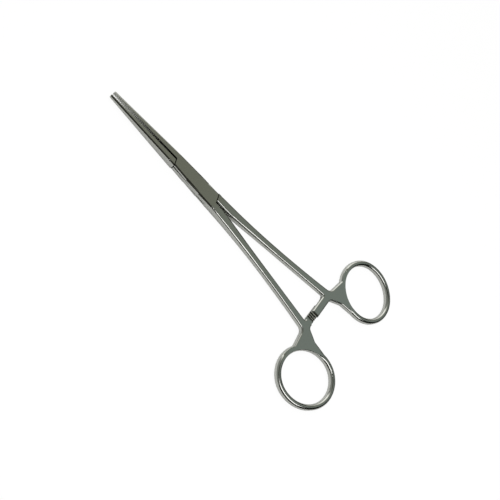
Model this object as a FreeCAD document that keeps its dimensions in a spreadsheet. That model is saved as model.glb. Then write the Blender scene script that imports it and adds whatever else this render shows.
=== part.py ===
# Straight box-lock artery forceps, lying flat.
# The jaws point to -X, the finger rings to +X, and the hinge stands along Z through the origin.
# Each half is drawn in its closed place about the middle plane of the box,
# then turned by half the rest opening and lifted so that the box stands on Z = 0.
import FreeCAD, Part
import os
import Sketcher
from FreeCAD import Placement, Rotation, Vector

os.makedirs("parts", exist_ok=True)

doc = FreeCAD.newDocument("artery_forceps")
sheet = doc.addObject("Spreadsheet::Sheet", "Sizes")

# Driving dimensions, in millimetres and degrees
driving = [
    ("rest_opening", 1.5, "angle between the halves as they lie"),
    ("face_gap", 0.05, "gripping face to the middle line, closed"),
    ("slide_gap", 0.05, "tongue to each cheek"),
    ("wall_gap", 0.15, "tongue to the end walls of its slot, closed"),
    ("step_gap", 0.2, "shoulders of the tongue half to the ends of the cheeks, closed"),
    ("box_half_length", 12.6, "pivot to the end of a cheek, on the middle line"),
    ("box_front_width", 6.1, "box at the jaws' end"),
    ("box_rear_width", 7.9, "box at the shanks' end"),
    ("box_bow", 0.15, "rise of each side of the box between its ends"),
    ("box_thickness", 4.6, "over both cheeks"),
    ("end_slant", 23.0, "end edges of the cheeks, from straight across"),
    ("slot_height", 1.7, "between the cheeks"),
    ("notch_reach", 9.5, "pivot to the slot's end wall, at the side of the box"),
    ("pin_radius", 1.6, "hinge pin, ground flush with the cheeks"),
    ("pin_gap", 0.04, "pin to its bore in the tongue"),
    ("crest_radius", 60.0, "from the side, where the flat box turns into a jaw or a shank"),
    ("tip_reach", 50.5, "pivot to the tip"),
    ("tip_width", 1.1, "jaw at its tip, face to back"),
    ("tip_thickness", 1.96, "jaw at its tip, top to bottom"),
    ("back_radius", 0.85, "long edges of the box and of a jaw's back"),
    ("nose_radius", 0.48, "edges of a jaw's end"),
    ("groove_start", 1.2, "tip to the first groove"),
    ("groove_pitch", 0.9, "groove to groove"),
    ("groove_width", 0.78, "one groove at the face"),
    ("groove_depth", 0.3, "one groove"),
    ("groove_count", 36, "grooves in each face"),
    ("crotch_reach", 19.5, "pivot to where the shanks part"),
    ("crotch_bend", 30.0, "bend of a shank's inner side there, from above"),
    ("shank_arc", 570.0, "bow of a shank's outer side, from above"),
    ("shank_thickness", 3.0, "lower shank and web, top to bottom"),
    ("thin_reach", 50.0, "pivot to where a shank is down to that thickness"),
    ("shank_radius", 0.85, "long edges of a shank and its web"),
    ("neck_inner", 7.0, "middle line to a shank's inner side, at the ratchet arm"),
    ("throat_offset", 11.2, "middle line to the corner between shank and web"),
    ("throat_lead", 0.5, "that corner behind the ring's front"),
    ("web_bend", 2.8, "corners of the web, from above"),
    ("knee_lead", 2.6, "web's end inside the ring's bar, behind the ring's front"),
    ("knee_drop", 2.6, "ring's centre to that end, across"),
    ("heel_offset", 7.8, "middle line to the web behind the ratchet arm"),
    ("heel_lead", 8.9, "ring's front to where the web nears the ring's inner side"),
    ("heel_gap", 0.75, "web beside the ring's inner side, there"),
    ("ring_reach", 95.0, "pivot to the centre of a finger ring, along the middle line"),
    ("ring_offset", 25.9, "middle line to that centre"),
    ("ring_short_radius", 12.85, "middle of the bar, short way"),
    ("ring_stretch", 1.4, "long radius over short radius"),
    ("ring_end_step", 0.65, "short radius over the radius of the ring's two ends"),
    ("ring_turn", 22.5, "long way of the ring, turned in towards the middle line"),
    ("bar_width", 2.7, "bar of the ring, from above"),
    ("bar_thickness", 3.3, "bar of the ring, top to bottom"),
    ("arm_lead", 1.2, "front of the ratchet arms before the ring's front"),
    ("arm_width", 4.1, "ratchet arm, along the shank"),
    ("arm_front_bend", 0.7, "corner between shank and arm"),
    ("arm_rear_bend", 1.8, "corner between arm and web"),
    ("arm_root_offset", 6.2, "middle line to where an arm has its full thickness"),
    ("arm_overlap", 3.1, "end of an arm past the middle line, closed"),
    ("arm_gap", 0.12, "between the crests of the two arms"),
    ("arm_chamfer", 0.6, "end of an arm, on its plain side"),
    ("tooth_pitch", 1.15, "ratchet tooth to tooth"),
    ("tooth_depth", 0.5, "one ratchet tooth"),
    ("tooth_count", 6, "ratchet teeth on each arm"),
]

# Places worked out from them
derived = [
    ("half_opening", "=rest_opening / 2"),
    ("middle_height", "=box_thickness / 2"),
    ("blank_thickness", "=box_thickness + 1"),
    ("clear_height", "=box_thickness"),
    ("box_front_half", "=box_front_width / 2"),
    ("box_rear_half", "=box_rear_width / 2"),
    ("box_spread", "=atan2(box_rear_half - box_front_half; 2 * box_half_length)"),
    ("box_chord", "=2 * box_half_length / cos(box_spread)"),
    ("box_side_arc", "=box_chord ^ 2 / (8 * box_bow) + box_bow / 2"),
    ("side_centre_reach", "=(box_side_arc - box_bow) * sin(box_spread)"),
    ("side_centre_height", "=(box_front_half + box_rear_half) / 2 - (box_side_arc - box_bow) * cos(box_spread)"),
    ("tip_back", "=face_gap + tip_width"),
    ("side_run", "=side_centre_reach + tip_reach"),
    ("side_drop", "=tip_back - side_centre_height"),
    ("back_length", "=sqrt(side_run ^ 2 + side_drop ^ 2 - box_side_arc ^ 2)"),
    ("back_lean", "=atan2(box_side_arc; back_length) - atan2(side_drop; side_run)"),
    ("back_end", "=tip_reach - back_length * cos(back_lean)"),
    ("back_end_height", "=tip_back + back_length * sin(back_lean)"),
    ("tip_half", "=tip_thickness / 2"),
    ("taper_run", "=tip_reach - box_half_length"),
    ("taper_drop", "=tip_half - middle_height + crest_radius"),
    ("taper_length", "=sqrt(taper_run ^ 2 + taper_drop ^ 2 - crest_radius ^ 2)"),
    ("taper_lean", "=atan2(crest_radius; taper_length) - atan2(taper_drop; taper_run)"),
    ("taper_top", "=tip_reach - taper_length * cos(taper_lean)"),
    ("taper_top_height", "=tip_half + taper_length * sin(taper_lean)"),
    ("taper_start", "=tip_reach + 1"),
    ("taper_start_height", "=tip_half - tan(taper_lean)"),
    ("back_full_radius", "=min(back_radius; 0.45 * tip_thickness; 0.8 * tip_width)"),
    ("nose_full_radius", "=min(nose_radius; 0.45 * tip_width)"),
    ("clear_side", "=box_rear_half + 2"),
    ("clear_end", "=box_half_length + 4"),
    ("end_lean", "=tan(end_slant) * clear_side"),
    ("cheek_end_near", "=box_half_length - end_lean"),
    ("shoulder_end", "=box_half_length + step_gap"),
    ("shoulder_near", "=shoulder_end - end_lean"),
    ("shoulder_far", "=shoulder_end + end_lean"),
    ("wall_lean", "=(box_half_length - notch_reach) / box_rear_half * clear_side"),
    ("wall_near", "=box_half_length - wall_lean"),
    ("tongue_end", "=box_half_length - wall_gap"),
    ("tongue_near", "=tongue_end - wall_lean"),
    ("tongue_half_height", "=slot_height / 2 - slide_gap"),
    ("bore_radius", "=pin_radius + pin_gap"),
    ("groove_reach", "=tip_reach - groove_start"),
    ("groove_left", "=groove_reach + groove_width / 2"),
    ("groove_right", "=groove_reach - groove_width / 2"),
    ("groove_bottom", "=face_gap + groove_depth"),
    ("groove_row", "=groove_pitch * (groove_count - 1)"),
    ("shank_start", "=box_half_length - 2"),
    ("shank_start_outer", "=box_rear_half - 0.15"),
    ("shank_half", "=shank_thickness / 2"),
    ("crotch_lean", "=atan2(neck_inner - face_gap; arm_reach - crotch_reach)"),
    ("crotch_tangent", "=crotch_bend * tan(crotch_lean / 2)"),
    ("crotch_near", "=crotch_reach - crotch_tangent"),
    ("crotch_far", "=crotch_reach + crotch_tangent * cos(crotch_lean)"),
    ("crotch_far_inner", "=face_gap + crotch_tangent * sin(crotch_lean)"),
    ("fall_start", "=box_half_length + step_gap"),
    ("fall_drop", "=middle_height - shank_half"),
    ("fall_run", "=thin_reach - fall_start"),
    ("fall_lean", "=2 * atan2(fall_drop; fall_run)"),
    ("fall_arc", "=fall_run / sin(fall_lean) - crest_radius"),
    ("fall_crest", "=fall_start + crest_radius * sin(fall_lean)"),
    ("fall_crest_height", "=middle_height - crest_radius * (1 - cos(fall_lean))"),
    ("shank_full_radius", "=min(shank_radius; 0.45 * shank_thickness)"),
    ("ring_long_radius", "=ring_short_radius + ring_stretch"),
    ("ring_end_arc", "=ring_short_radius - ring_end_step"),
    ("ring_end_shift", "=ring_long_radius - ring_end_arc"),
    ("ring_side_arc", "=(ring_end_shift ^ 2 + ring_short_radius ^ 2 - ring_end_arc ^ 2) / (2 * ring_end_step)"),
    ("ring_side_shift", "=ring_short_radius - ring_side_arc"),
    ("ring_end_angle", "=2 * atan2(-ring_side_shift; ring_end_shift)"),
    ("ring_side_angle", "=2 * atan2(ring_end_shift; -ring_side_shift)"),
    ("ring_front_half", "=sqrt((ring_long_radius * cos(ring_turn)) ^ 2 + (ring_short_radius * sin(ring_turn)) ^ 2)"),
    ("ring_side_half", "=sqrt((ring_long_radius * sin(ring_turn)) ^ 2 + (ring_short_radius * cos(ring_turn)) ^ 2)"),
    ("ring_front", "=ring_reach - ring_front_half - bar_width / 2"),
    ("ring_inner_side", "=ring_offset - ring_side_half - bar_width / 2"),
    ("hole_long_radius", "=ring_long_radius - 0.2 * bar_width"),
    ("hole_short_radius", "=ring_short_radius - 0.2 * bar_width"),
    ("bar_half_thickness", "=bar_thickness / 2"),
    ("bar_radius", "=0.46 * min(bar_width; bar_thickness)"),
    ("long_bar_near", "=ring_long_radius - bar_width / 2"),
    ("long_bar_far", "=ring_long_radius + bar_width / 2"),
    ("short_bar_near", "=ring_short_radius - bar_width / 2"),
    ("short_bar_far", "=ring_short_radius + bar_width / 2"),
    ("throat_reach", "=ring_front + throat_lead"),
    ("knee_reach", "=ring_front + knee_lead"),
    ("knee_offset", "=ring_offset - knee_drop"),
    ("heel_reach", "=ring_front + heel_lead"),
    ("heel_top", "=ring_inner_side - heel_gap"),
    ("arm_reach", "=ring_front - arm_lead"),
    ("arm_rear", "=arm_reach + arm_width"),
    ("arm_cut_start", "=arm_reach - 1"),
    ("arm_cut_length", "=arm_width + 2"),
    ("arm_top", "=arm_gap / 2"),
    ("arm_clear", "=arm_overlap + 0.5"),
    ("arm_bevel_end", "=arm_overlap - arm_chamfer"),
    ("arm_bevel_height", "=shank_half - arm_chamfer - 0.5"),
    ("tooth_first", "=arm_overlap - 0.3"),
    ("tooth_second", "=tooth_first - tooth_pitch"),
    ("tooth_bottom", "=arm_top + tooth_depth"),
    ("tooth_row", "=tooth_pitch * (tooth_count - 1)"),
]
for row, (alias, value, note) in enumerate(driving, start=1):
    sheet.set("A%d" % row, alias)
    sheet.set("B%d" % row, str(value))
    sheet.set("C%d" % row, note)
    sheet.setAlias("B%d" % row, alias)
for row, (alias, formula) in enumerate(derived, start=1):
    sheet.set("E%d" % row, alias)
    sheet.set("F%d" % row, formula)
    sheet.setAlias("F%d" % row, alias)
doc.recompute()


def size(spec):
    """The sheet's value for an alias; a leading minus turns its sign."""
    if spec.startswith("-"):
        return -float(sheet.get(spec[1:]))
    return float(sheet.get(spec))


def link(spec):
    """The same value as an expression."""
    return spec.replace("-", "-Sizes.") if spec.startswith("-") else "Sizes." + spec


def plane(body, role):
    return [item for item in body.Origin.OriginFeatures if item.Role == role][0]


def newSketch(body, name, role, lift=None):
    """A sketch on one of the body's own planes, lifted off it by a length of the sheet."""
    sketch = body.newObject("Sketcher::SketchObject", name)
    sketch.AttachmentSupport = [(plane(body, role), "")]
    sketch.MapMode = "FlatFace"
    if lift:
        sketch.AttachmentOffset = Placement(Vector(0, 0, size(lift)), Rotation())
        sketch.setExpression(".AttachmentOffset.Base.z", link(lift))
    return sketch


def bind(sketch, constraint, spec):
    """Add a dimension to the sketch and tie it to the sheet."""
    index = sketch.addConstraint(constraint)
    sketch.setExpression("Constraints[%d]" % index, link(spec))


def fixPoint(sketch, curve, end, across, up):
    """Place one end of a curve; zero stands for an axis of the sketch."""
    if across == "zero":
        sketch.addConstraint(Sketcher.Constraint("PointOnObject", curve, end, -2))
    else:
        bind(sketch, Sketcher.Constraint("DistanceX", -1, 1, curve, end, size(across)), across)
    if up == "zero":
        sketch.addConstraint(Sketcher.Constraint("PointOnObject", curve, end, -1))
    else:
        bind(sketch, Sketcher.Constraint("DistanceY", -1, 1, curve, end, size(up)), up)


def position(corner):
    across, up = corner[:2]
    return Vector(0 if across == "zero" else size(across), 0 if up == "zero" else size(up), 0)


def flip(spec):
    """The opposite of a named length."""
    return spec[1:] if spec.startswith("-") else "-" + spec


def drawOutline(sketch, corners):
    """A closed outline through named corners. A third name in a corner is the radius of the arc that leaves it.

    The arc turns to the left, or with a minus to the right.
    """
    count = len(corners)
    curves = []
    for index, corner in enumerate(corners):
        start, end = position(corner), position(corners[(index + 1) % count])
        if len(corner) == 2:
            curves.append((sketch.addGeometry(Part.LineSegment(start, end)), 1, 2))
        else:
            radius = size(corner[2])
            chord = end - start
            rise = abs(radius) - (radius ** 2 - chord.Length ** 2 / 4) ** 0.5
            right = Vector(chord.y, -chord.x, 0).normalize()
            middle = (start + end) / 2 + right * (rise if radius > 0 else -rise)
            # an arc of a sketch always runs anticlockwise
            if radius > 0:
                curves.append((sketch.addGeometry(Part.Arc(start, middle, end)), 1, 2))
            else:
                curves.append((sketch.addGeometry(Part.Arc(end, middle, start)), 2, 1))
            spec = corner[2].lstrip("-")
            bind(sketch, Sketcher.Constraint("Radius", curves[index][0], size(spec)), spec)
        fixPoint(sketch, curves[index][0], curves[index][1], corner[0], corner[1])
    for index, (curve, first, last) in enumerate(curves):
        following = curves[(index + 1) % count]
        sketch.addConstraint(Sketcher.Constraint("Coincident", curve, last, following[0], following[1]))


def drawMirrored(sketch, corners):
    """An outline and its mirror image on the other side of the sketch's first axis."""
    drawOutline(sketch, corners)
    drawOutline(sketch, [(corner[0],) + tuple(flip(spec) for spec in corner[1:]) for corner in corners])


def drawSection(sketch, near, far, top, corner):
    """A rounded rectangle, even about the sketch's first axis."""
    x1, x2, z, r = size(near), size(far), size(top), size(corner)
    lines = [
        (Vector(x1 + r, -z, 0), Vector(x2 - r, -z, 0)),
        (Vector(x2, -z + r, 0), Vector(x2, z - r, 0)),
        (Vector(x2 - r, z, 0), Vector(x1 + r, z, 0)),
        (Vector(x1, z - r, 0), Vector(x1, -z + r, 0)),
    ]
    centres = [
        Vector(x2 - r, -z + r, 0),
        Vector(x2 - r, z - r, 0),
        Vector(x1 + r, z - r, 0),
        Vector(x1 + r, -z + r, 0),
    ]
    outward = [Vector(1, -1, 0), Vector(1, 1, 0), Vector(-1, 1, 0), Vector(-1, -1, 0)]
    for index in range(4):
        sketch.addGeometry(Part.LineSegment(lines[index][0], lines[index][1]))
        middle = centres[index] + outward[index] * (0.5 ** 0.5 * r)
        sketch.addGeometry(Part.Arc(lines[index][1], middle, lines[(index + 1) % 4][0]))
    for index in range(0, 8, 2):
        sketch.addConstraint(Sketcher.Constraint("Tangent", index, 2, index + 1, 1))
        sketch.addConstraint(Sketcher.Constraint("Tangent", index + 1, 2, (index + 2) % 8, 1))
    sketch.addConstraint(Sketcher.Constraint("Horizontal", 0))
    sketch.addConstraint(Sketcher.Constraint("Vertical", 2))
    sketch.addConstraint(Sketcher.Constraint("Horizontal", 4))
    sketch.addConstraint(Sketcher.Constraint("Vertical", 6))
    bind(sketch, Sketcher.Constraint("DistanceX", -1, 1, 6, 1, x1), near)
    bind(sketch, Sketcher.Constraint("DistanceX", -1, 1, 2, 1, x2), far)
    bind(sketch, Sketcher.Constraint("DistanceY", -1, 1, 4, 1, z), top)
    bind(sketch, Sketcher.Constraint("DistanceY", -1, 1, 0, 1, -z), "-" + top)
    bind(sketch, Sketcher.Constraint("Radius", 1, r), corner)
    for curve in (3, 5, 7):
        sketch.addConstraint(Sketcher.Constraint("Equal", 1, curve))


def pad(body, sketch, length, name):
    """A plate as thick as a length of the sheet, half of it on each side of its sketch."""
    feature = body.newObject("PartDesign::Pad", name)
    feature.Profile = sketch
    feature.SideType = "Symmetric"
    feature.Length = size(length)
    feature.setExpression("Length", link(length))
    return feature


def pocket(body, sketch, name, length=None, symmetric=True, reverse=False):
    """A cut through everything, or to a length of the sheet, on both sides of its sketch or on one."""
    feature = body.newObject("PartDesign::Pocket", name)
    feature.Profile = sketch
    feature.SideType = "Symmetric" if symmetric else "One side"
    feature.Reversed = reverse
    if length:
        feature.Length = size(length)
        feature.setExpression("Length", link(length))
    else:
        feature.Type = "ThroughAll"
    return feature


def row(body, feature, direction, length, count, name):
    """The feature repeated in a straight row."""
    pattern = body.newObject("PartDesign::LinearPattern", name)
    pattern.Originals = [feature]
    pattern.Direction = direction
    pattern.Length = size(length)
    pattern.setExpression("Length", link(length))
    pattern.Occurrences = int(size(count))
    pattern.setExpression("Occurrences", link(count))
    body.Tip = pattern
    return pattern


def fillet(body, base, edges, radius, name):
    feature = body.newObject("PartDesign::Fillet", name)
    feature.Base = (base, edges)
    feature.Radius = size(radius)
    feature.setExpression("Radius", link(radius))
    body.recompute(True)
    return feature


def bend(body, base, corner, radius, name):
    """Round the upright edge that stands over one corner of a blank's plan."""
    place = position(corner)
    edges = []
    for index, edge in enumerate(base.Shape.Edges, start=1):
        middle = edge.CenterOfMass
        if abs(middle.z) < 0.001 and abs(middle.x - place.x) + abs(middle.y - place.y) < 0.001:
            edges.append("Edge%d" % index)
    return fillet(body, base, edges, radius, name)


def wallEdges(feature, wanted):
    """The upper and lower edges of the upright walls that are wanted by their middle and normal."""
    shape = feature.Shape
    names = []
    for face in shape.Faces:
        first, last, low, high = face.ParameterRange
        normal = face.normalAt((first + last) / 2, (low + high) / 2)
        if abs(normal.z) > 0.001 or not wanted(face.CenterOfMass, normal):
            continue
        for edge in face.Edges:
            if abs(edge.tangentAt(edge.FirstParameter).z) > 0.999:
                continue
            names += ["Edge%d" % index for index, other in enumerate(shape.Edges, start=1) if other.isSame(edge)]
    return names


def addJawAndBox(body):
    """A jaw on the +Y side of the middle line and the lock block behind it, forged in one piece."""
    sketch = newSketch(body, "jaw_plan", "XY_Plane")
    drawOutline(sketch, [("-tip_reach", "face_gap"), ("-box_half_length", "face_gap"),
                         ("-box_half_length", "-box_front_half", "box_side_arc"),
                         ("box_half_length", "-box_rear_half"),
                         ("box_half_length", "box_rear_half", "box_side_arc"),
                         ("-back_end", "back_end_height"), ("-tip_reach", "tip_back")])
    pad(body, sketch, "blank_thickness", "jaw_blank")
    sketch = newSketch(body, "jaw_side", "XZ_Plane")
    drawMirrored(sketch, [("-taper_start", "taper_start_height"),
                          ("-taper_top", "taper_top_height", "-crest_radius"),
                          ("-box_half_length", "middle_height"), ("clear_end", "middle_height"),
                          ("clear_end", "clear_height"), ("-taper_start", "clear_height")])
    taper = pocket(body, sketch, "jaw_taper")
    body.recompute(True)

    def isBack(middle, normal):
        return abs(middle.y) > 2 * size("face_gap") and abs(normal.y) > 0.5

    rounding = fillet(body, taper, wallEdges(taper, isBack), "back_full_radius", "back_rounding")
    ends = []
    for index, edge in enumerate(rounding.Shape.Edges, start=1):
        box = edge.BoundBox
        if box.XMax < 0.001 - size("tip_reach") and box.YMax > size("face_gap") + 0.001:
            ends.append("Edge%d" % index)
    fillet(body, rounding, ends, "nose_full_radius", "nose")
    sketch = newSketch(body, "groove_plan", "XY_Plane")
    drawOutline(sketch, [("-groove_left", "face_gap"), ("-groove_reach", "groove_bottom"),
                         ("-groove_right", "face_gap"), ("-groove_right", "-face_gap"),
                         ("-groove_left", "-face_gap")])
    groove = pocket(body, sketch, "groove")
    row(body, groove, (sketch, ["H_Axis"]), "groove_row", "groove_count", "grooves")


def newShank(name):
    """A shank on the -Y side, its ratchet arm, and the flat web that spreads to the ring."""
    body = doc.addObject("PartDesign::Body", name)
    sketch = newSketch(body, name + "_plan", "XY_Plane")
    drawOutline(sketch, [("shank_start", "-face_gap"), ("shank_start", "-shank_start_outer", "-shank_arc"),
                         ("throat_reach", "-throat_offset"), ("knee_reach", "-knee_offset"),
                         ("ring_reach", "-ring_offset"), ("ring_reach", "-ring_inner_side"),
                         ("heel_reach", "-heel_top"), ("arm_rear", "-heel_offset"),
                         ("arm_rear", "arm_overlap"), ("arm_reach", "arm_overlap"),
                         ("arm_reach", "-neck_inner"), ("crotch_far", "-crotch_far_inner", "crotch_bend"),
                         ("crotch_near", "-face_gap")])
    blank = pad(body, sketch, "blank_thickness", name + "_blank")
    body.recompute(True)
    blank = bend(body, blank, ("throat_reach", "-throat_offset"), "web_bend", name + "_throat")
    blank = bend(body, blank, ("heel_reach", "-heel_top"), "web_bend", name + "_heel")
    blank = bend(body, blank, ("arm_reach", "-neck_inner"), "arm_front_bend", name + "_arm_front")
    blank = bend(body, blank, ("arm_rear", "-heel_offset"), "arm_rear_bend", name + "_arm_rear")
    sketch = newSketch(body, name + "_side", "XZ_Plane")
    drawMirrored(sketch, [("zero", "middle_height"), ("fall_start", "middle_height", "-crest_radius"),
                          ("fall_crest", "fall_crest_height", "fall_arc"), ("thin_reach", "shank_half"),
                          ("ring_reach", "shank_half"), ("ring_reach", "clear_height"),
                          ("zero", "clear_height")])
    fall = pocket(body, sketch, name + "_fall")
    body.recompute(True)

    def isSide(middle, normal):
        along = size("shank_start") + 0.01 < middle.x < size("ring_reach") - 0.01
        return along and -size("knee_offset") < middle.y < size("arm_overlap") - 0.01

    fillet(body, fall, wallEdges(fall, isSide), "shank_full_radius", name + "_rounding")
    addTeeth(body)
    return body


def addTeeth(body):
    """Halve the arm's thickness, bevel its plain end, and cut saw teeth in its upper side."""
    sketch = newSketch(body, "arm_profile", "YZ_Plane", "arm_cut_start")
    drawOutline(sketch, [("-arm_root_offset", "-arm_top"), ("arm_clear", "-arm_top"),
                         ("arm_clear", "clear_height"), ("-arm_root_offset", "clear_height")])
    drawOutline(sketch, [("arm_bevel_end", "-shank_half"), ("arm_bevel_end", "-clear_height"),
                         ("arm_clear", "-clear_height"), ("arm_clear", "-arm_bevel_height")])
    pocket(body, sketch, "arm_step", "arm_cut_length", symmetric=False, reverse=True)
    sketch = newSketch(body, "tooth_profile", "YZ_Plane", "arm_cut_start")
    drawOutline(sketch, [("tooth_first", "arm_top"), ("tooth_first", "-tooth_bottom"),
                         ("tooth_second", "-arm_top"), ("tooth_second", "arm_top")])
    tooth = pocket(body, sketch, "tooth", "arm_cut_length", symmetric=False, reverse=True)
    row(body, tooth, (sketch, ["H_Axis"]), "tooth_row", "tooth_count", "teeth").Reversed = True


def placeAtRing(item, turn=0):
    """Put something drawn about the ring's own centre where the ring is, turned on by so many degrees."""
    item.Placement = Placement(Vector(0, 0, 0), Rotation(Vector(0, 0, 1), 1))
    item.setExpression("Placement.Base.x", "Sizes.ring_reach")
    item.setExpression("Placement.Base.y", "-Sizes.ring_offset")
    item.setExpression("Placement.Rotation.Angle", "Sizes.ring_turn + %d" % turn)


def newBends(name, near, far, shift, angle, turns):
    """Arcs of the ring's bar: one rounded section, turned about a centre that is shifted off the ring's own."""
    section = doc.addObject("Sketcher::SketchObject", name + "_section")
    section.Placement = Placement(Vector(0, 0, 0), Rotation(0, 0, 90))
    drawSection(section, near, far, "bar_half_thickness", "bar_radius")
    bends = []
    for turn in turns:
        arc = doc.addObject("Part::Revolution", "%s_%d" % (name, turn))
        arc.Source = section
        arc.Axis = Vector(0, 0, 1)
        arc.setExpression("Base.x", link(shift))
        arc.setExpression("Angle", link(angle))
        arc.Symmetric = True
        arc.Solid = True
        placeAtRing(arc, turn)
        bends.append(arc)
    return bends


def newRing(name):
    """The bar of a finger ring: an oval of four arcs that run smoothly into one another."""
    ends = newBends(name + "_end", "long_bar_near", "long_bar_far", "ring_end_shift", "ring_end_angle", (0, 180))
    sides = newBends(name + "_side", "short_bar_near", "short_bar_far", "ring_side_shift", "ring_side_angle",
                     (90, 270))
    return [ends[0], sides[0], ends[1], sides[1]]


def newHole(name):
    """The oval prism that keeps the web out of the ring's hole."""
    curve = doc.addObject("Part::Ellipse", name + "_oval")
    curve.setExpression("MajorRadius", "Sizes.hole_long_radius")
    curve.setExpression("MinorRadius", "Sizes.hole_short_radius")
    prism = doc.addObject("Part::Extrusion", name)
    prism.Base = curve
    prism.DirMode = "Custom"
    prism.Dir = Vector(0, 0, 1)
    prism.Solid = True
    prism.Symmetric = True
    prism.setExpression("LengthFwd", "2 * Sizes.shank_thickness")
    placeAtRing(prism)
    return prism


def newForging(name):
    """What both halves are milled from: a jaw, a full lock block, a shank, a ratchet arm and a web."""
    body = doc.addObject("PartDesign::Body", name)
    addJawAndBox(body)
    joint = body.newObject("PartDesign::Boolean", name + "_joint")
    joint.setObjects([newShank(name + "_shank")])
    joint.Type = "Fuse"
    body.recompute(True)
    return body


def addPinHole(body, radius):
    sketch = newSketch(body, "pin_hole_plan", "XY_Plane")
    circle = sketch.addGeometry(Part.Circle(Vector(0, 0, 0), Vector(0, 0, 1), size(radius)))
    sketch.addConstraint(Sketcher.Constraint("Coincident", circle, 3, -1, 1))
    bind(sketch, Sketcher.Constraint("Radius", circle, size(radius)), radius)
    pocket(body, sketch, "pin_hole")


def millBox(body):
    """Slant the ends of both cheeks and open the slot that the tongue crosses."""
    sketch = newSketch(body, "cheek_ends_plan", "XY_Plane")
    drawOutline(sketch, [("-clear_end", "face_gap"), ("-box_half_length", "face_gap"),
                         ("-cheek_end_near", "-clear_side"), ("-clear_end", "-clear_side")])
    drawOutline(sketch, [("clear_end", "-face_gap"), ("box_half_length", "-face_gap"),
                         ("cheek_end_near", "clear_side"), ("clear_end", "clear_side")])
    pocket(body, sketch, "cheek_ends")
    sketch = newSketch(body, "slot_plan", "XY_Plane")
    drawOutline(sketch, [("-clear_end", "face_gap"), ("-box_half_length", "face_gap"),
                         ("-wall_near", "clear_side"), ("clear_end", "clear_side"),
                         ("clear_end", "-face_gap"), ("box_half_length", "-face_gap"),
                         ("wall_near", "-clear_side"), ("-clear_end", "-clear_side")])
    pocket(body, sketch, "slot", "slot_height")
    addPinHole(body, "pin_radius")


def millTongue(body):
    """Cut the lock block down to the tongue, with a shoulder at each end of the cheeks."""
    sketch = newSketch(body, "tongue_ends_plan", "XY_Plane")
    drawOutline(sketch, [("-clear_end", "face_gap"), ("-tongue_end", "face_gap"),
                         ("-tongue_near", "-clear_side"), ("-clear_end", "-clear_side")])
    drawOutline(sketch, [("clear_end", "-face_gap"), ("tongue_end", "-face_gap"),
                         ("tongue_near", "clear_side"), ("clear_end", "clear_side")])
    pocket(body, sketch, "tongue_ends")
    for name, lift, down in (("upper_recess", "tongue_half_height", False),
                             ("lower_recess", "-tongue_half_height", True)):
        sketch = newSketch(body, name + "_plan", "XY_Plane", lift)
        drawOutline(sketch, [("-shoulder_near", "clear_side"), ("-shoulder_far", "-clear_side"),
                             ("shoulder_near", "-clear_side"), ("shoulder_far", "clear_side")])
        pocket(body, sketch, name, symmetric=False, reverse=not down)
    addPinHole(body, "bore_radius")


def newHalf(name, mill, turn):
    """One half of the forceps, turned about the hinge and over its length to where it lies."""
    forging = newForging(name + "_forging")
    mill(forging)
    opened = doc.addObject("Part::Cut", name + "_open_web")
    opened.Base = forging
    opened.Tool = newHole(name + "_hole")
    half = doc.addObject("Part::MultiFuse", name)
    half.Shapes = [opened] + newRing(name + "_ring")
    half.Refine = True
    half.Label = name
    half.setExpression("Placement", turn)
    return half


def newPin(name):
    """The hinge pin, pressed into both cheeks and flush with them."""
    pin = doc.addObject("Part::Cylinder", name)
    pin.Label = name
    pin.setExpression("Radius", "Sizes.pin_radius")
    pin.setExpression("Height", "Sizes.box_thickness")
    return pin


def faults():
    """Every object that failed to build."""
    found = []
    for item in doc.Objects:
        if "Invalid" in item.State or "Error" in item.State:
            found.append(item.Name)
    return found


atRest = "create(<<placement>>; create(<<vector>>; 0; 0; Sizes.middle_height); create(<<rotation>>; %s; 0; %s))"
subParts = [
    newHalf("box_half", millBox, atRest % ("-Sizes.half_opening", "0")),
    newHalf("tongue_half", millTongue, atRest % ("Sizes.half_opening", "180")),
    newPin("lock_pin"),
]
doc.recompute()

failed = faults()
for part in subParts:
    if part.Shape.isNull() or not part.Shape.isValid() or len(part.Shape.Solids) != 1:
        failed.append(part.Label)
if failed:
    raise SystemExit("not built: " + ", ".join(failed))

for part in subParts:
    part.Shape.exportStep("parts/%s.step" % part.Label)
    print(part.Label, round(part.Shape.Volume, 1), "mm3")
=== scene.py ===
import math

import bpy
from mathutils import Matrix, Vector

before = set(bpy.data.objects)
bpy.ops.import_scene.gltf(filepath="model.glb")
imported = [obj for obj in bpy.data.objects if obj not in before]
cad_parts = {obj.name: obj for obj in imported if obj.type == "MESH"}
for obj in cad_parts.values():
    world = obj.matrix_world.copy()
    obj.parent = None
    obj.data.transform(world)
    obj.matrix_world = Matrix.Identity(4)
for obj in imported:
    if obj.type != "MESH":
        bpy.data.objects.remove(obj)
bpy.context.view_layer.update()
mm = 0.001


def linear(code):
    values = [int(code[i:i + 2], 16) / 255 for i in (0, 2, 4)]
    return [v / 12.92 if v <= 0.04045 else ((v + 0.055) / 1.055) ** 2.4 for v in values] + [1.0]


def addNode(tree, kind, settings=None, links=None):
    node = tree.nodes.new(kind)
    for key, value in (settings or {}).items():
        if isinstance(key, int) or key in node.inputs:
            node.inputs[key].default_value = value
        else:
            setattr(node, key, value)
    for key, source in (links or {}).items():
        tree.links.new(source, node.inputs[key])
    return node


def maths(tree, operation, *terms):  # each term is a number or another node's output
    fixed = {i: term for i, term in enumerate(terms) if isinstance(term, (int, float))}
    wires = {i: term for i, term in enumerate(terms) if i not in fixed}
    return addNode(tree, "ShaderNodeMath", {"operation": operation, **fixed}, wires).outputs[0]


def product(tree, first, *others):
    for other in others:
        first = maths(tree, "MULTIPLY", first, other)
    return first


def ramp(tree, value, span):  # 0 to 1 across the span, eased at both ends
    low, high = span
    return addNode(tree, "ShaderNodeMapRange", {"interpolation_type": "SMOOTHSTEP", "From Min": low, "From Max": high},
                   {"Value": value}).outputs["Result"]


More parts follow.
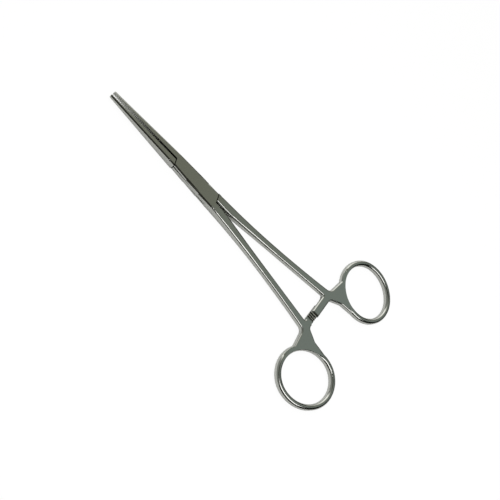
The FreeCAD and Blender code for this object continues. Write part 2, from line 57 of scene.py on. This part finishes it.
def newTree(owner):
    owner.use_nodes = True
    owner.node_tree.nodes.clear()
    return owner.node_tree


# steel: martensitic stainless, satin on its ground flats and brighter on its polished edges and rings
steel = {
    "base": "cfd0cb",
    "flatRoughness": 0.15,
    "edgeRoughness": 0.1,
    "flatRise": (0.93, 0.995),  # upward part of the normal, from edge to flat
    "beadSize": 0.15,  # mm, one dimple; glass beads leave finer ones, which would not show
    "beadDepth": 0.001,  # mm
    "beadStrength": 0.6,
    "beadDetail": 2.0,
    "bodyEnd": 13.5,  # mm from the hinge; the jaws and the lock before it have facets that follow their faces
}

# painted shade: a dark colour laid along the joint lines of the box lock and the jaws, over and beside their real gaps
seamShade = {
    # colour of the painted shade in the joint lines
    "tone": "161614",
    "cheekReach": 12.6,  # mm from the hinge to a cheek's end
    "cheekSlant": 23.0,  # degrees from straight across
    "cheekWidth": 0.2,  # mm, to each side of a cheek's end
    "partingWidth": 0.28,  # mm, beside the gap, at the cheeks
    "partingEnd": 46.0,  # mm from the hinge, where the line has thinned out
    "openHalf": 0.75,  # degrees, each jaw from the middle line
}

# webs: each ring's round section is ground flat where it crosses its web; here only the shading normal is turned
# upright there, and the mesh stays round
webs = {
    "ringPlace": (94.65, 27.14),  # mm, a ring's centre from the hinge and from the middle line
    "reach": 17.0,  # mm from that centre
    "line": (-0.77, -0.64),  # from that centre to the neck
    "sector": (0.35, 0.85),  # cosine of the angle from that line, from round to flat
    "top": (0.62, 0.82),  # upward part of the normal, from side to top
    "outer": (0.12, 0.02),  # outward part of the normal, from the ring's outside to its inside
    "crossing": 0.8,  # sideways over forward part of the normal, where the web's own edges begin
    "crossingSpan": (-0.05, 0.05),
}


def addSeamShade(tree, along, across, spec):  # 1 where shade is painted along the joint lines, 0 elsewhere
    reach, width = spec["cheekReach"] * mm, spec["cheekWidth"] * mm
    slant = math.radians(spec["cheekSlant"])
    far = maths(tree, "ABSOLUTE", along)
    side = product(tree, maths(tree, "SIGN", along), across)  # the lock's two ends are point symmetric
    off = maths(tree, "MULTIPLY_ADD", side, math.tan(slant), maths(tree, "SUBTRACT", far, reach))
    cheek = product(tree, maths(tree, "LESS_THAN", maths(tree, "ABSOLUTE", off), width / math.cos(slant)),
                    maths(tree, "GREATER_THAN", side, -width))
    end = spec["partingEnd"] * mm
    opening = math.tan(math.radians(spec["openHalf"]))
    gap = maths(tree, "MULTIPLY_ADD", far, -opening, maths(tree, "ABSOLUTE", across))
    limit = product(tree, maths(tree, "SUBTRACT", end, far), spec["partingWidth"] * mm / (end - reach))
    parting = product(tree, maths(tree, "LESS_THAN", maths(tree, "ABSOLUTE", gap), limit),
                      maths(tree, "LESS_THAN", along, -reach))
    return maths(tree, "MAXIMUM", cheek, parting)


def addWebFlat(tree, along, across, lean, rise, spec):  # 1 on the flat of a web in its ring's top, 0 elsewhere
    east = maths(tree, "SUBTRACT", along, spec["ringPlace"][0] * mm)
    north = maths(tree, "SUBTRACT", maths(tree, "ABSOLUTE", across), spec["ringPlace"][1] * mm)
    spread = maths(tree, "SQRT", maths(tree, "MULTIPLY_ADD", east, east, product(tree, north, north)))
    lineEast, lineNorth = spec["line"]
    toWeb = maths(tree, "MULTIPLY_ADD", east, lineEast, product(tree, north, lineNorth))
    tilt = addNode(tree, "ShaderNodeSeparateXYZ", {}, {0: lean}).outputs
    sway = product(tree, tilt["Y"], maths(tree, "SIGN", across))
    outward = maths(tree, "MULTIPLY_ADD", tilt["X"], east, product(tree, sway, north))
    forward = maths(tree, "MULTIPLY_ADD", tilt["X"], lineEast, product(tree, sway, lineNorth))
    sideways = maths(tree, "MULTIPLY_ADD", tilt["X"], lineNorth, product(tree, sway, -lineEast))
    within = maths(tree, "MULTIPLY_ADD", forward, spec["crossing"],
                   product(tree, maths(tree, "ABSOLUTE", sideways), -1.0))
    ground = maths(tree, "MAXIMUM", ramp(tree, maths(tree, "DIVIDE", outward, spread), spec["outer"]),
                   ramp(tree, within, spec["crossingSpan"]))
    return product(tree, ramp(tree, maths(tree, "DIVIDE", toWeb, spread), spec["sector"]),
                   ramp(tree, rise, spec["top"]), ground, maths(tree, "LESS_THAN", spread, spec["reach"] * mm))


def makeSteel(name, spec):
    material = bpy.data.materials.new(name)
    tree = newTree(material)
    place = addNode(tree, "ShaderNodeTexCoord").outputs
    face = addNode(tree, "ShaderNodeNewGeometry").outputs
    where = addNode(tree, "ShaderNodeSeparateXYZ", {}, {0: place["Object"]}).outputs
    along, across = where["X"], where["Y"]
    curved = maths(tree, "GREATER_THAN", along, spec["bodyEnd"] * mm)
    body = addNode(tree, "ShaderNodeMix", {"data_type": "VECTOR"},
                   {0: curved, 4: face["True Normal"], 5: face["Normal"]}).outputs[1]
    rise = addNode(tree, "ShaderNodeSeparateXYZ", {}, {0: body}).outputs["Z"]
    skin = addNode(tree, "ShaderNodeMix", {"data_type": "VECTOR", 5: (0, 0, 1)},
                   {0: addWebFlat(tree, along, across, place["Normal"], rise, webs), 4: body}).outputs[1]
    level = maths(tree, "ABSOLUTE", addNode(tree, "ShaderNodeSeparateXYZ", {}, {0: skin}).outputs["Z"])
    edge, flat = spec["flatRise"]
    rough = addNode(tree, "ShaderNodeMapRange", {"From Min": edge, "From Max": flat, "To Min": spec["edgeRoughness"],
                                                 "To Max": spec["flatRoughness"]}, {"Value": level})
    grain = addNode(tree, "ShaderNodeTexNoise", {"Scale": 1 / (spec["beadSize"] * mm), "Detail": spec["beadDetail"]},
                    {"Vector": place["Object"]})
    bump = addNode(tree, "ShaderNodeBump", {"Strength": spec["beadStrength"], "Distance": spec["beadDepth"] * mm},
                   {"Height": grain.outputs["Fac"], "Normal": skin})
    # the steel's colour, with painted shade along the joint lines
    tone = addNode(tree, "ShaderNodeMix", {"data_type": "RGBA", 6: linear(spec["base"]), 7: linear(seamShade["tone"])},
                   {0: addSeamShade(tree, along, across, seamShade)})
    shader = addNode(tree, "ShaderNodeBsdfPrincipled", {"Metallic": 1.0},
                     {"Base Color": tone.outputs[2], "Roughness": rough.outputs["Result"],
                      "Normal": bump.outputs["Normal"]})
    addNode(tree, "ShaderNodeOutputMaterial", {}, {"Surface": shader.outputs["BSDF"]})
    return material


def dressNodes():
    skin = makeSteel("satinStainless", steel)
    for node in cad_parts.values():
        node.data.materials.clear()
        node.data.materials.append(skin)
    print("steel on", len(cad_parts), "nodes")


# camera: the photo's view, from above and beside the lower shank
camera = {
    "place": (-23.7, -166.0, 277.7),  # mm from the hinge
    "right": (0.6721, 0.5610, 0.4832),  # direction of the picture's right side
    "up": (-0.7155, 0.6601, 0.2289),
    "focal": 737.3 / 500.0,  # focal length over picture width
    "sensor": 36,  # mm
    "clip": (10, 10000),  # mm
}


def makeCamera(spec):
    data = bpy.data.cameras.new("photoCamera")
    data.sensor_width = spec["sensor"]
    data.lens = spec["sensor"] * spec["focal"]
    data.clip_start, data.clip_end = [reach * mm for reach in spec["clip"]]
    item = bpy.data.objects.new("photoCamera", data)
    bpy.context.scene.collection.objects.link(item)
    right, up = Vector(spec["right"]).normalized(), Vector(spec["up"]).normalized()
    back = right.cross(up).normalized()
    turn = Matrix((right, back.cross(right), back)).transposed()
    item.matrix_world = Matrix.Translation(Vector(spec["place"]) * mm) @ turn.to_4x4()
    bpy.context.scene.camera = item
    print("camera set")


# paper: plain white, with most of what the camera sees of it made even, the rest left to the shadow
paper = {
    "reach": 3000,  # mm
    "tone": "fafafa",
    "glow": 1.05,
    "even": 0.9,  # share of the even white
}


def makeFloor(spec):
    mesh = bpy.data.meshes.new("floor")
    reach = spec["reach"] * mm
    corners = [(-reach, -reach, 0), (reach, -reach, 0), (reach, reach, 0), (-reach, reach, 0)]
    mesh.from_pydata(corners, [], [(0, 1, 2, 3)])
    floor = bpy.data.objects.new("floor", mesh)
    bpy.context.scene.collection.objects.link(floor)
    material = bpy.data.materials.new("whitePaper")
    tree = newTree(material)
    sheet = addNode(tree, "ShaderNodeBsdfDiffuse", {"Color": linear(spec["tone"])})
    glow = addNode(tree, "ShaderNodeEmission", {"Color": linear("ffffff"), "Strength": spec["glow"]})
    share = product(tree, addNode(tree, "ShaderNodeLightPath").outputs["Is Camera Ray"], spec["even"])
    mix = addNode(tree, "ShaderNodeMixShader", {}, {0: share, 1: sheet.outputs[0], 2: glow.outputs[0]})
    addNode(tree, "ShaderNodeOutputMaterial", {}, {"Surface": mix.outputs[0]})
    mesh.materials.append(material)
    print("floor laid")


# room: what the steel shows of the studio, by direction; each span runs along one part of the direction
room = {
    "dark": "34342f",  # horizon, seen in the rounded edges
    "left": "8a8d88",  # grey corner past the jaws, seen in the near sides of the rings
    "leftSpan": (-0.15, -0.5),
    "right": "1b1b19",  # corner beyond the rings, the dark band on their ends
    "rightSpan": (0.4, 0.7),
    "beyondSpan": (0.15, 0.45),  # from above the camera to the far side
    "ceilingNear": "7d7f73",  # seen in the flat tops of the box lock
    "ceilingFar": "868f8a",  # seen in the flat tops by the rings
    "ceilingTint": (0.08, 0.34),  # from near to far
    "ceilingSpan": (0.35, 0.8),
    "wall": "e6e6e2",  # bright wall past the jaws, seen in their tips and in the insides of the rings
    "wallLean": 0.3,  # how far the wall's edge leans towards the rings on its way down
    "wallEdge": (0.105, 0.08),
    "wallFoot": (0.05, 0.2),
    "wallGain": 0.55,  # how much brighter the wall gets away from its edge
    "wallGainSpan": (-0.25, -0.5),
}


def makeRoom(spec):
    world = bpy.data.worlds.new("studioRoom")
    tree = newTree(world)
    place = addNode(tree, "ShaderNodeTexCoord")
    way = addNode(tree, "ShaderNodeSeparateXYZ", {}, {"Vector": place.outputs["Generated"]}).outputs

    def along(axis, span):
        return ramp(tree, way[axis], spec[span])

    def blend(share, first, second):  # each a name in the dictionary or a node's output
        ends = {6: first, 7: second}
        codes = {key: linear(spec[end]) for key, end in ends.items() if isinstance(end, str)}
        wires = {key: end for key, end in ends.items() if key not in codes}
        return addNode(tree, "ShaderNodeMix", {"data_type": "RGBA", **codes}, {0: share, **wires}).outputs[2]

    beyond = along("Y", "beyondSpan")
    horizon = blend(along("X", "rightSpan"), blend(along("X", "leftSpan"), "dark", "left"), "right")
    ceiling = blend(along("X", "ceilingTint"), "ceilingNear", "ceilingFar")
    shell = blend(product(tree, along("Z", "ceilingSpan"), beyond), horizon, ceiling)
    slope = maths(tree, "MULTIPLY_ADD", way["Z"], spec["wallLean"], way["X"])
    wall = product(tree, ramp(tree, slope, spec["wallEdge"]), beyond, along("Z", "wallFoot"))
    gain = maths(tree, "MULTIPLY_ADD", product(tree, along("X", "wallGainSpan"), beyond), spec["wallGain"], 1.0)
    sky = addNode(tree, "ShaderNodeBackground", {}, {"Color": blend(wall, shell, "wall"), "Strength": gain})
    plain = addNode(tree, "ShaderNodeBackground", {"Color": linear("ffffff")})
    seen = addNode(tree, "ShaderNodeLightPath").outputs["Is Camera Ray"]
    mix = addNode(tree, "ShaderNodeMixShader", {}, {0: seen, 1: sky.outputs[0], 2: plain.outputs[0]})
    addNode(tree, "ShaderNodeOutputWorld", {}, {"Surface": mix.outputs[0]})
    bpy.context.scene.world = world
    print("room painted")


# lamps: a softbox that draws the bright line along each shank, and a light that only the paper gets
lamps = {
    "nearSoftbox": {"stand": (240, -150, 420), "size": (360, 240), "radiance": 1.9, "mirrored": True},  # mm
    "paperLight": {"stand": (-40, 60, 600), "size": (300, 300), "radiance": 4.0, "mirrored": False},
}


def hangLamps(spec):
    for name, lamp in spec.items():
        data = bpy.data.lights.new(name, "AREA")
        data.shape = "RECTANGLE"
        data.size, data.size_y = [side * mm for side in lamp["size"]]
        data.energy = lamp["radiance"] * math.pi * data.size * data.size_y
        item = bpy.data.objects.new(name, data)
        bpy.context.scene.collection.objects.link(item)
        item.location = Vector(lamp["stand"]) * mm  # an area lamp faces straight down as it is made
        item.visible_glossy = lamp["mirrored"]
    print("lamps hung:", len(spec))


makeCamera(camera)
makeFloor(paper)
makeRoom(room)
hangLamps(lamps)
dressNodes()
bpy.context.scene.view_settings.view_transform = "Standard"
